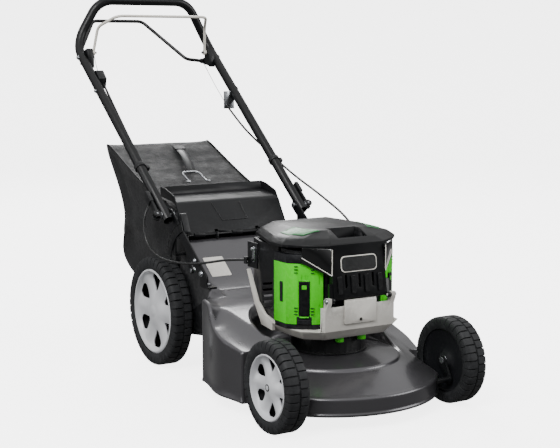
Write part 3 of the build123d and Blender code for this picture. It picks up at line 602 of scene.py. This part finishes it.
def rating_plate():
    """A blank plate riveted on the slope of the chute."""
    lower, upper = at(0, 0.484, spline(FLAT_Z, 0.484)), at(0, 0.537, spline(FLAT_Z, 0.537))
    slope = (upper - lower).normalized()
    place = facing(at(-0.102, 0.510, spline(FLAT_Z, 0.510) + 0.0002), Vector((1, 0, 0)).cross(slope), slope)
    plate = slab("rating_plate", rounded(0.055, (upper - lower).length, 0.003), 0.0008, place)
    finish_piece(plate, "chassis", "tray_plastic", 0.0002)


# --- wheels -------------------------------------------------------------------------------------------

def wheel_place(node):
    """Return the middle of a wheel, its outward side, its radius and its half width."""
    lo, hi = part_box(node)
    centre = (lo + hi) / 2
    return centre, 1 if centre.x > 0 else -1, (hi.y - lo.y) / 2, (hi.x - lo.x) / 2


GROOVE = 9      # marks the points of a tyre's middle groove; -1 and 1 mark its two rows of lugs


def tyre(node, hub_node, body, blocks):
    """Mould a tyre with two staggered rows of lugs that wrap over its shoulders."""
    centre, side, radius, half = wheel_place(node)
    inner = wheel_place(hub_node)[2]
    centre.z = radius - 0.0004
    groove = 0.0042
    shape = [(-half + 0.003, inner - 0.001, 0), (-half + 0.0005, inner + 0.004, 0),
             (-half, inner + 0.009, 0), (-half, radius - 0.013, -1), (-half + 0.001, radius - 0.007, -1),
             (-half + 0.004, radius - 0.0018, -1), (-half + 0.008, radius, -1), (-half * 0.45, radius, -1),
             (-0.0022, radius, -1), (-0.0012, radius, GROOVE), (0.0012, radius, GROOVE), (0.0022, radius, 1),
             (half * 0.45, radius, 1), (half - 0.008, radius, 1), (half - 0.004, radius - 0.0018, 1),
             (half - 0.001, radius - 0.007, 1), (half, radius - 0.013, 1), (half, inner + 0.009, 0),
             (half - 0.0005, inner + 0.004, 0), (half - 0.003, inner - 0.001, 0)]
    steps = (0.0, 0.03, 0.15, 0.18, 0.5, 0.53, 0.65, 0.68)
    columns = []
    for i in range(blocks):
        for k, step in enumerate(steps):
            a = 2 * pi * (i + step) / blocks
            cut = {1: -1, 2: -1, 5: 1, 6: 1}.get(k, 0)
            column = []
            for x, r, row in shape:
                if row == GROOVE:
                    r -= groove * 0.8
                elif row and row == cut:
                    r -= groove
                    x -= row * 0.0014 if r < radius - 0.009 else 0.0
                point = centre + Vector((side * x, r * cos(a), r * sin(a)))
                point.z = max(point.z, 0.0)
                column.append(point)
            columns.append(column)
    piece = grid(node + "_tread", columns, around=True)
    finish_piece(piece, body, "tyre_rubber", 0.0006, 40.0)
    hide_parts(node)


def hub(node, body):
    """Shape a wheel centre: six tapered windows, fluted spokes that rise between them, a rim and a cap."""
    centre, side, radius, half = wheel_place(node)
    centre.z = wheel_place(node.replace("hub", "tyre"))[2] - 0.0004
    face_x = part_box(node)[1].x if side > 0 else -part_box(node)[0].x
    face_x -= abs(centre.x)
    window = (0.47, 0.87)
    rows = [0.0, 0.06, 0.11, 0.125, 0.17, 0.24, 0.32, 0.40, 0.47, 0.52, 0.58, 0.64, 0.70, 0.76, 0.81, 0.85,
            0.87, 0.895, 0.915, 0.93, 0.95, 0.975, 1.0]
    across = (-1.0, -0.86, -0.72, -0.58, -0.46, -0.38, -0.19, 0.0, 0.19, 0.38, 0.46, 0.58, 0.72, 0.86)
    edge = 0.38

    def half_angle(f):
        grow = min(1.0, max(0.0, (f - window[0]) / (window[1] - window[0])))
        return 3.2 + 10.6 * sin(pi * 0.5 * min(1.0, grow * 1.18)) - 5.5 * max(0.0, grow - 0.82) / 0.18

    def depth(f, ridge):
        if f < 0.115:
            return -0.0015 - 0.0012 * (f / 0.115) ** 2
        bowl = 0.0065 * smooth(0.13, 0.5, f) * (1 - 0.35 * smooth(0.7, 0.9, f))
        crest = 0.0058 * smooth(0.25, 0.55, f) * (1 - ridge) ** 1.5 * smooth(0.95, 0.86, f)
        lip = 0.0045 * smooth(0.90, 0.93, f) * smooth(1.0, 0.96, f)
        return -0.0035 - bowl - crest + lip + 0.004 * smooth(0.88, 0.93, f)

    columns = []
    for sector in range(6):
        for c in across:
            column = []
            for f in rows:
                w = half_angle(f)
                ridge = max(0.0, (abs(c) - edge) / (1 - edge))
                swing = w * abs(c) / edge if abs(c) <= edge else mix(w, 30.0, ridge)
                a = radians(60 * sector + 30 + (swing if c >= 0 else -swing))
                x = face_x + depth(f, ridge)
                column.append(centre + Vector((side * x, radius * f * cos(a), radius * f * sin(a))))
            columns.append(column)

    count = len(across)

    def keep(i, j):
        open_column = across[i % count] >= -edge and across[i % count] < edge
        return not (open_column and window[0] <= rows[j] < window[1])

    piece = grid(node + "_spokes", columns, around=True, keep=keep)
    thick = piece.modifiers.new("wall", "SOLIDIFY")
    thick.thickness = 0.0035
    thick.offset = -1
    finish_piece(piece, body, "hub_plastic", 0.0007, 40.0)
    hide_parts(node)
    turn = Matrix.Rotation(radians(90 * side), 4, "Y")
    place = Matrix.Translation(centre) @ turn
    back = [(0.0, -half + 0.004), (0.016, -half + 0.004), (0.020, -half + 0.010),
            (radius * 0.5, -half + 0.012), (radius * 0.9, -half + 0.006), (radius - 0.001, -half + 0.002),
            (radius - 0.0005, face_x - 0.004)]
    # The back dish is the wheel's inner wall; its black is painted shade, seen through the windows.
    window_shade_dish = lathe(node + "_dish", back, place, 64)
    thick = window_shade_dish.modifiers.new("wall", "SOLIDIFY")
    thick.thickness = 0.0015
    finish_piece(window_shade_dish, body, "pack_black", 0.0)
    inside = place @ Matrix.Translation((0, 0, -half + 0.004)) @ Matrix.Rotation(pi, 4, "X")
    finish_piece(hex_bolt(node + "_nut", inside, 0.008), body, "zinc", 0.0006)


def all_wheels():
    """Make the four tyres and hubs, with more lugs round the larger rear ones."""
    for end, blocks in (("front", 34), ("rear", 42)):
        for hand in ("left", "right"):
            body = f"{end}_wheel_{hand}"
            tyre(f"{end}_tyre_{hand}", f"{end}_hub_{hand}", body, blocks)
            hub(f"{end}_hub_{hand}", body)


# --- cables -------------------------------------------------------------------------------------------

STOP_ROUTE = [(-.184, 1.014, .716), (-.185, .880, .602), (-.184, .742, .492), (-.186, .706, .450),
              (-.200, .682, .424), (-.222, .672, .398), (-.230, .668, .364), (-.229, .654, .326),
              (-.225, .622, .300), (-.220, .576, .290), (-.210, .520, .289), (-.196, .462, .293),
              (-.178, .408, .303), (-.158, .356, .316), (-.1395, .301, .322)]
DRIVE_ROUTE = [(.178, .968, .650), (.183, .905, .604), (.194, .850, .566), (.211, .800, .533),
               (.220, .750, .503), (.217, .680, .479), (.211, .610, .460), (.203, .535, .443),
               (.194, .460, .424), (.183, .385, .406), (.168, .318, .387), (.153, .276, .370),
               (.143, .252, .350), (.140, .244, .3235)]
STOP_WIRE = [(-.184, 1.014, .716), (-.183, 1.050, .745), (-.178, 1.082, .772), (-.176, 1.094, .794)]
DRIVE_WIRE = [(.178, .968, .650), (.178, 1.020, .690), (.180, 1.080, .738), (.184, 1.122, .770)]


def control_cables():
    """Two sheathed cables on fixed routes from the handle to the power head."""
    for node, route, start, end in (("stop_cable", STOP_ROUTE, (0, .50, .28), (0, .70, .44)),
                                    ("drive_cable", DRIVE_ROUTE, (0, .46, .42), (0, .70, .49))):
        cable = tube(node + "_sheath", [at(*p) for p in route], 0.003)
        finish_piece(cable, None, "cable_sheath")
        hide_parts(node)
        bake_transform(cable)
    for name, points in (("stop_wire", STOP_WIRE), ("drive_wire", DRIVE_WIRE)):
        finish_piece(tube(name, [at(*p) for p in points], 0.0009), "handle", "zinc")


# --- grass bag ----------------------------------------------------------------------------------------

BAG_SIDE = [(.644, .161), (.644, .397), (.720, .421), (.800, .446), (.880, .476), (.960, .509),
            (1.040, .543), (1.062, .549), (1.064, .543), (1.044, .512), (1.012, .474), (.976, .430),
            (.950, .388), (.938, .352), (.950, .322), (.974, .296), (.986, .268), (.978, .240),
            (.952, .219), (.905, .196), (.840, .181), (.760, .170)]


def side_line(step=0.008):
    """Return the bag's side outline as evenly spaced points, from its lower front corner round."""
    dense = []
    closed = BAG_SIDE + BAG_SIDE[:1]
    for (y0, z0), (y1, z1) in zip(closed, closed[1:]):
        n = max(1, round(hypot(y1 - y0, z1 - z0) / step))
        dense += [(mix(y0, y1, k / n), mix(z0, z1, k / n)) for k in range(n)]
    for _ in range(3):
        dense = [((dense[k - 1][0] + 2 * dense[k][0] + dense[(k + 1) % len(dense)][0]) / 4,
                  (dense[k - 1][1] + 2 * dense[k][1] + dense[(k + 1) % len(dense)][1]) / 4)
                 for k in range(len(dense))]
    return dense


def bag_half(y, z):
    """Return the bag's half width, wider above and behind the wheels."""
    return mix(0.1478, 0.1585, smooth(0.735, 0.775, y) * smooth(0.290, 0.330, z))


def crease(x, y, z, side):
    """Return how far the cloth stands in or out at a point: long folds, pulled in between the seams."""
    p = Vector((x * 5, y * 7, z * 11))
    long_fold = noise.noise(p + Vector((3.1, 0, 1.7)))
    fine = noise.noise(p * 2.7 + Vector((0, 5.2, 0)))
    wave = sin(z * 95 + 3.5 * long_fold + (6 * y if side else 0))
    tight = smooth(0.66, 0.74, y)
    return tight * (0.0035 * long_fold + 0.0016 * fine + 0.0016 * wave * (0.6 + long_fold))


def bag_shell():
    """Sew the cloth bag: a shell across its width, and two gusseted sides that sag between the seams."""
    line = side_line()
    n = len(line)
    cy, cz = 0.800, 0.320
    half_widths = [0.2, 0.4, 0.6, 0.76, 0.88, 0.95, 0.985, 1]
    widths = [-w for w in reversed(half_widths)] + [0] + half_widths
    columns = []
    for k, (y, z) in enumerate(line):
        back, ahead = line[k - 1], line[(k + 1) % n]
        normal = Vector((ahead[1] - back[1], -(ahead[0] - back[0])))
        normal.normalize()
        if normal.dot(Vector((y - cy, z - cz))) < 0:
            normal = -normal
        column = []
        for w in widths:
            x = w * bag_half(y, z)
            inset = 0.0015 + 0.004 * (1 - abs(w) ** 6) - crease(x, y, z, False) * (1 - abs(w) ** 8)
            column.append(at(x, y - normal.x * inset, z - normal.y * inset))
        columns.append(column)
    shell = grid("bag_wrap", columns, around=True)
    sides = []
    for hand in (-1, 1):
        rings = []
        for k in range(n):
            y, z = line[k]
            column = []
            for s in (0.0, 0.02, 0.05, 0.1, 0.17, 0.26, 0.36, 0.47, 0.58, 0.7, 0.82, 0.93):
                py, pz = mix(y, cy, s), mix(z, cz, s)
                fold = crease(hand, py, pz, True) * 1.6 * smooth(0.0, 0.1, s)
                dip = 0.0025 + 0.007 * smooth(0.0, 0.3, s) - fold
                column.append(at(hand * (bag_half(py, pz) - max(0.0, dip) * smooth(0.0, 0.04, s)), py, pz))
            rings.append(column)
        sides.append(grid(f"bag_side_{hand}", rings, around=True))
    bag = join("bag_cloth_body", [shell, *sides])
    bm = bmesh.new()
    bm.from_mesh(bag.data)
    bmesh.ops.remove_doubles(bm, verts=bm.verts, dist=0.0026)
    open_edges = [e for e in bm.edges if e.is_boundary]
    bmesh.ops.holes_fill(bm, edges=open_edges)
    bmesh.ops.recalc_face_normals(bm, faces=bm.faces)
    bm.to_mesh(bag.data)
    bm.free()
    finish_piece(bag, "bag", "bag_cloth")
    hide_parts("grass_bag")


def bag_fittings():
    """Piped seams, a moulded side panel, the carrying strap and its buckle."""
    line = side_line(0.012)
    rear = [p for p in line if p[0] > 0.70 and p[1] > 0.19]
    for hand in (-1, 1):
        points = [at(hand * (bag_half(y, z) - 0.0015), y, z) for y, z in rear[::2]]
        finish_piece(tube(f"bag_piping_{'left' if hand > 0 else 'right'}", points, 0.0019, resolution=3),
                     "bag", "trim_black")
    outline = [(.650, .372), (.650, .398), (.700, .412), (.732, .420), (.730, .404), (.690, .352),
               (.662, .318)]
    for hand, label in ((1, "left"), (-1, "right")):
        place = facing(at(hand * 0.1455, 0, 0), (hand, 0, 0))
        panel = slab(f"bag_panel_{label}", [(y * hand, z) for y, z in outline], 0.0032, place)
        finish_piece(panel, "bag", "bag_plastic", 0.0008)
    rise = (0.549 - 0.446) / (1.062 - 0.800)
    section = ((-.0125, 0), (-.0118, .0012), (.0118, .0012), (.0125, 0))
    strap = []
    for k in range(25):
        y = mix(0.858, 1.000, k / 24)
        z = 0.446 + (y - 0.800) * rise + 0.0012 + 0.010 * sin(pi * k / 24) ** 0.8
        x = mix(0.010, 0.040, k / 24)
        strap.append([at(x + w, y, z + t) for w, t in section])
    finish_piece(grid("bag_strap", strap), "bag", "trim_black")
    place = facing(at(0.041, 1.004, 0.446 + 0.204 * rise + 0.0015), (0, -rise, 1), (0, 1, 0))
    frame_piece = slab("bag_buckle", rounded(0.034, 0.022, 0.004), 0.005, place)
    finish_piece(frame_piece, "bag", "pack_black", 0.001)


# --- flap, power head and other fittings --------------------------------------------------------------

def flap_details():
    """Raised outline ribs on the flap's slope."""
    foot, head = at(0, 0.598, 0.3585), at(0, 0.634, 0.4145)
    slope = head - foot
    normal = Vector((1, 0, 0)).cross(slope).normalized()
    lift = normal * 0.0008
    marks = [(-0.052, 1.0), (-0.034, 0.25), (0.040, 0.25), (0.030, 1.0)]
    for m, ((x0, s0), (x1, s1)) in enumerate(zip(marks, marks[1:])):
        a, b = foot + slope * s0 + Vector((x0, 0, 0)), foot + slope * s1 + Vector((x1, 0, 0))
        rib = tube(f"flap_rib_0_{m}", [a + lift, (a + b) / 2 + lift, b + lift], 0.0013)
        finish_piece(rib, "rear_flap", "bail_black")


def lid_details():
    """A blank badge and ribs on the lid's front, and cream lines along the side panes' edges, painted as
    highlights.
    """
    lo = at(0, 0.0256, 0.264)
    hi = at(0, 0.0422, 0.380)
    up = (hi - lo).normalized()
    normal = Vector((1, 0, 0)).cross(up)
    place = facing(mix(lo, hi, 0.66) + normal * 0.0003, normal, up)
    border = slab("badge_frame", rounded(0.096, 0.036, 0.010), 0.0014, place)
    finish_piece(border, "lid", "bail_cream", 0.0005)
    face = place @ Matrix.Translation((0, 0, 0.0013))
    badge = slab("badge_face", rounded(0.092, 0.032, 0.009), 0.0006, face)
    finish_piece(badge, "lid", "cable_sheath", 0.0002)
    for x in (-0.054, -0.018, 0.018, 0.054):
        rib = slab(f"lid_rib_{round(x * 1000)}", rounded(0.012, 0.040, 0.003), 0.0030,
                   facing(mix(lo, hi, 0.27) + Vector((x, 0, 0)) + normal * 0.0002, normal, up))
        finish_piece(rib, "lid", "lid_plastic", 0.0010)
    # The cream tubes on each pane's edge and foot are painted highlights, where the clear panes catch the
    # light.
    for hand, label in ((-1, "right"), (1, "left")):
        corner, outer = at(hand * 0.0718, 0.0340, 0.3180), at(hand * 0.1232, 0.0782, 0.3560)
        edge = [corner, at(hand * 0.0716, 0.0334, 0.3480), at(hand * 0.0718, 0.0338, 0.3760)]
        finish_piece(tube(f"pane_edge_{label}", edge, 0.0011), "lid", "bail_cream")
        foot = [corner, mix(corner, outer, 0.5), outer]
        finish_piece(tube(f"pane_foot_{label}", foot, 0.0010), "lid", "bail_cream")


def pack_details():
    """Blank strips with green bars, black vent plates painted as the shade inside the slots, side plates and
    latches on the two battery packs.
    """
    for hand, label in ((-1, "right"), (1, "left")):
        body = f"battery_{label}"
        normal = Vector((hand * sin(radians(37)), -cos(radians(37)), 0))
        middle_point = at(hand * 0.1163, 0.0778, 0.0)

        def on_face(z, lift, offset=0.0):
            across = Vector((-normal.y, normal.x, 0)) * offset
            return facing(middle_point + Vector((0, 0, z)) + across + normal * lift, normal)

        def plate(name, width, height, z, offset, slot, lift=0.0001, thickness=0.0008):
            piece = slab(f"{name}_{label}", rounded(width, height, min(width, height) * 0.2), thickness,
                         on_face(z, lift, offset))
            finish_piece(piece, body, slot, thickness * 0.3)

        plate("pack_strip", 0.0215, 0.076, 0.264, 0.0, "lid_plastic", thickness=0.0016)
        plate("pack_bar_low", 0.0215, 0.0030, 0.2225, 0.0, "knob_green", 0.0003, 0.0012)
        plate("pack_bar_high", 0.0215, 0.0030, 0.3045, 0.0, "knob_green", 0.0003, 0.0012)
        plate("pack_mark", 0.0115, 0.0095, 0.290, 0.0, "knob_green", 0.0017, 0.0006)
        plate("pack_foot", 0.0300, 0.0090, 0.212, 0.0, "pack_black", 0.0003, 0.0022)
        # The vent slots are thin black plates: painted shade standing in for the dark inside the slots.
        for row, z in enumerate((0.229, 0.236, 0.243, 0.322, 0.329, 0.336)):
            for column, offset in enumerate((-0.0185, 0.0185)):
                plate(f"pack_vent_{row}_{column}", 0.0080, 0.0022, z, offset, "pack_black", thickness=0.0004)
        side = slab(f"pack_plate_{label}", rounded(0.013, 0.046, 0.002), 0.0008,
                    facing(at(hand * 0.1448, 0.128, 0.276), (hand, 0, 0)))
        finish_piece(side, body, "pack_black", 0.0003)
        latch = slab(f"pack_latch_{label}", rounded(0.020, 0.014, 0.003), 0.0030, on_face(0.350, 0.0002))
        finish_piece(latch, body, "lid_plastic", 0.0008)


def tray_details():
    """The tray cover's screw and the heads of the lid's hinge pins."""
    screw = facing(at(0, 0.0247, 0.216), (0, -1, 0))
    finish_piece(hex_bolt("cover_screw", screw, 0.0026), "chassis", "motor_iron", 0.0003)
    for hand, label in ((-1, "right"), (1, "left")):
        pin = facing(at(hand * 0.0912, 0.026, 0.264), (hand, 0, 0))
        finish_piece(hex_bolt(f"hinge_screw_{label}", pin, 0.0042), "chassis", "zinc", 0.0004)


def frame_bolts():
    """Zinc bolts on the lower handle channels, the bail brackets and the handle's legs."""
    spots = []
    for hand, label in ((-1, "right"), (1, "left")):
        side = (hand, 0, 0)
        spots += [(f"channel_bolt_{label}", at(hand * 0.1856, 0.436, 0.272), side, 0.0055, "chassis"),
                  (f"channel_bolt_b_{label}", at(hand * 0.1856, 0.470, 0.299), side, 0.0045, "chassis"),
                  (f"bracket_bolt_{label}", at(hand * 0.2212, 1.100, 0.787), side, 0.0050, "handle"),
                  (f"leg_screw_{label}", at(hand * 0.2200, 0.985, 0.697), side, 0.0040, "handle")]
    for name, point, normal, radius, body in spots:
        finish_piece(hex_bolt(name, facing(point, normal), radius), body, "zinc", 0.0005)


# --- stage --------------------------------------------------------------------------------------------

CAMERA_SPOT = (-1.581, -2.8294, 0.8136)
CAMERA_TURN = (radians(82.0881), 0.0, radians(-31.0472))
CAMERA_LENS, CAMERA_SENSOR = 81.49, 36.0        # millimetres
LAMP_TARGET = Vector((0, 0, 0.35))
LAMPS = (("key", (-2.6, -2.2, 3.4), 2.2, 150.0), ("fill", (3.2, -2.6, 2.0), 2.6, 80.0),
         ("rim", (1.4, 3.4, 2.8), 2.0, 90.0), ("low", (-3.6, 0.8, 0.9), 1.6, 25.0))


def studio_world():
    """A sky that is bright overhead, dim at the horizon and grey below, for dark reflections in plastics."""
    world = bpy.data.worlds.new("studio")
    world.use_nodes = True
    tree = world.node_tree
    space = tree.nodes.new("ShaderNodeTexCoord").outputs["Generated"]
    height = tree.nodes.new("ShaderNodeSeparateXYZ")
    tree.links.new(space, height.inputs[0])
    ramp = tree.nodes.new("ShaderNodeValToRGB")
    levels = ((0.0, 0.26), (0.42, 0.20), (0.5, 0.12), (0.62, 0.30), (0.8, 0.95), (1.0, 1.15))
    while len(ramp.color_ramp.elements) < len(levels):
        ramp.color_ramp.elements.new(0.5)
    for element, (position, level) in zip(ramp.color_ramp.elements, levels):
        element.position = position
        element.color = (level, level, level, 1.0)
    scaled = tree.nodes.new("ShaderNodeMapRange")
    scaled.inputs[1].default_value = -1.0
    tree.links.new(height.outputs["Z"], scaled.inputs[0])
    tree.links.new(scaled.outputs[0], ramp.inputs[0])
    tree.links.new(ramp.outputs[0], tree.nodes["Background"].inputs["Color"])
    return world


def stage():
    """Pale floor that curves up at its far edge, soft lights and the camera."""
    floor = Shader("floor")
    floor.link("Base Color", floor.blend(floor.ramp(floor.noise(3.0), 0.3, 0.7), (0.86, 0.86, 0.86),
                                         (0.90, 0.90, 0.90)))
    floor.set(Roughness=0.65, Specular_IOR_Level=0.2, Emission_Color=(1.0, 1.0, 1.0, 1.0),
              Emission_Strength=4.0)
    outline = [(0.0, 0.0), (2.0, 0.0), (5.0, 0.0), (8.0, 0.0), (9.5, 0.15), (10.8, 0.7), (11.6, 1.7),
               (12.0, 3.2), (12.1, 6.0)]
    ground = lathe("floor", outline, Matrix.Identity(4), 96)
    ground.data.materials.append(floor.material)
    for face in ground.data.polygons:
        face.use_smooth = True
    ground.visible_glossy = False
    ground.visible_diffuse = False
    bpy.context.scene.world = studio_world()
    for name, spot, size, power in LAMPS:
        data = bpy.data.lights.new(name, "AREA")
        data.shape = "DISK"
        data.size = size
        data.energy = power
        lamp = bpy.data.objects.new(name, data)
        lamp.location = spot
        lamp.rotation_euler = (LAMP_TARGET - Vector(spot)).to_track_quat("-Z", "Y").to_euler()
        bpy.context.scene.collection.objects.link(lamp)
    data = bpy.data.cameras.new("camera")
    data.lens = CAMERA_LENS
    data.sensor_width = CAMERA_SENSOR
    camera = bpy.data.objects.new("camera", data)
    camera.location = CAMERA_SPOT
    camera.rotation_euler = CAMERA_TURN
    bpy.context.scene.collection.objects.link(camera)
    bpy.context.scene.camera = camera


stage()
dress_cad()
deck_sheet()
chute()
rating_plate()
all_wheels()
control_cables()
bag_shell()
bag_fittings()
flap_details()
lid_details()
pack_details()
tray_details()
frame_bolts()
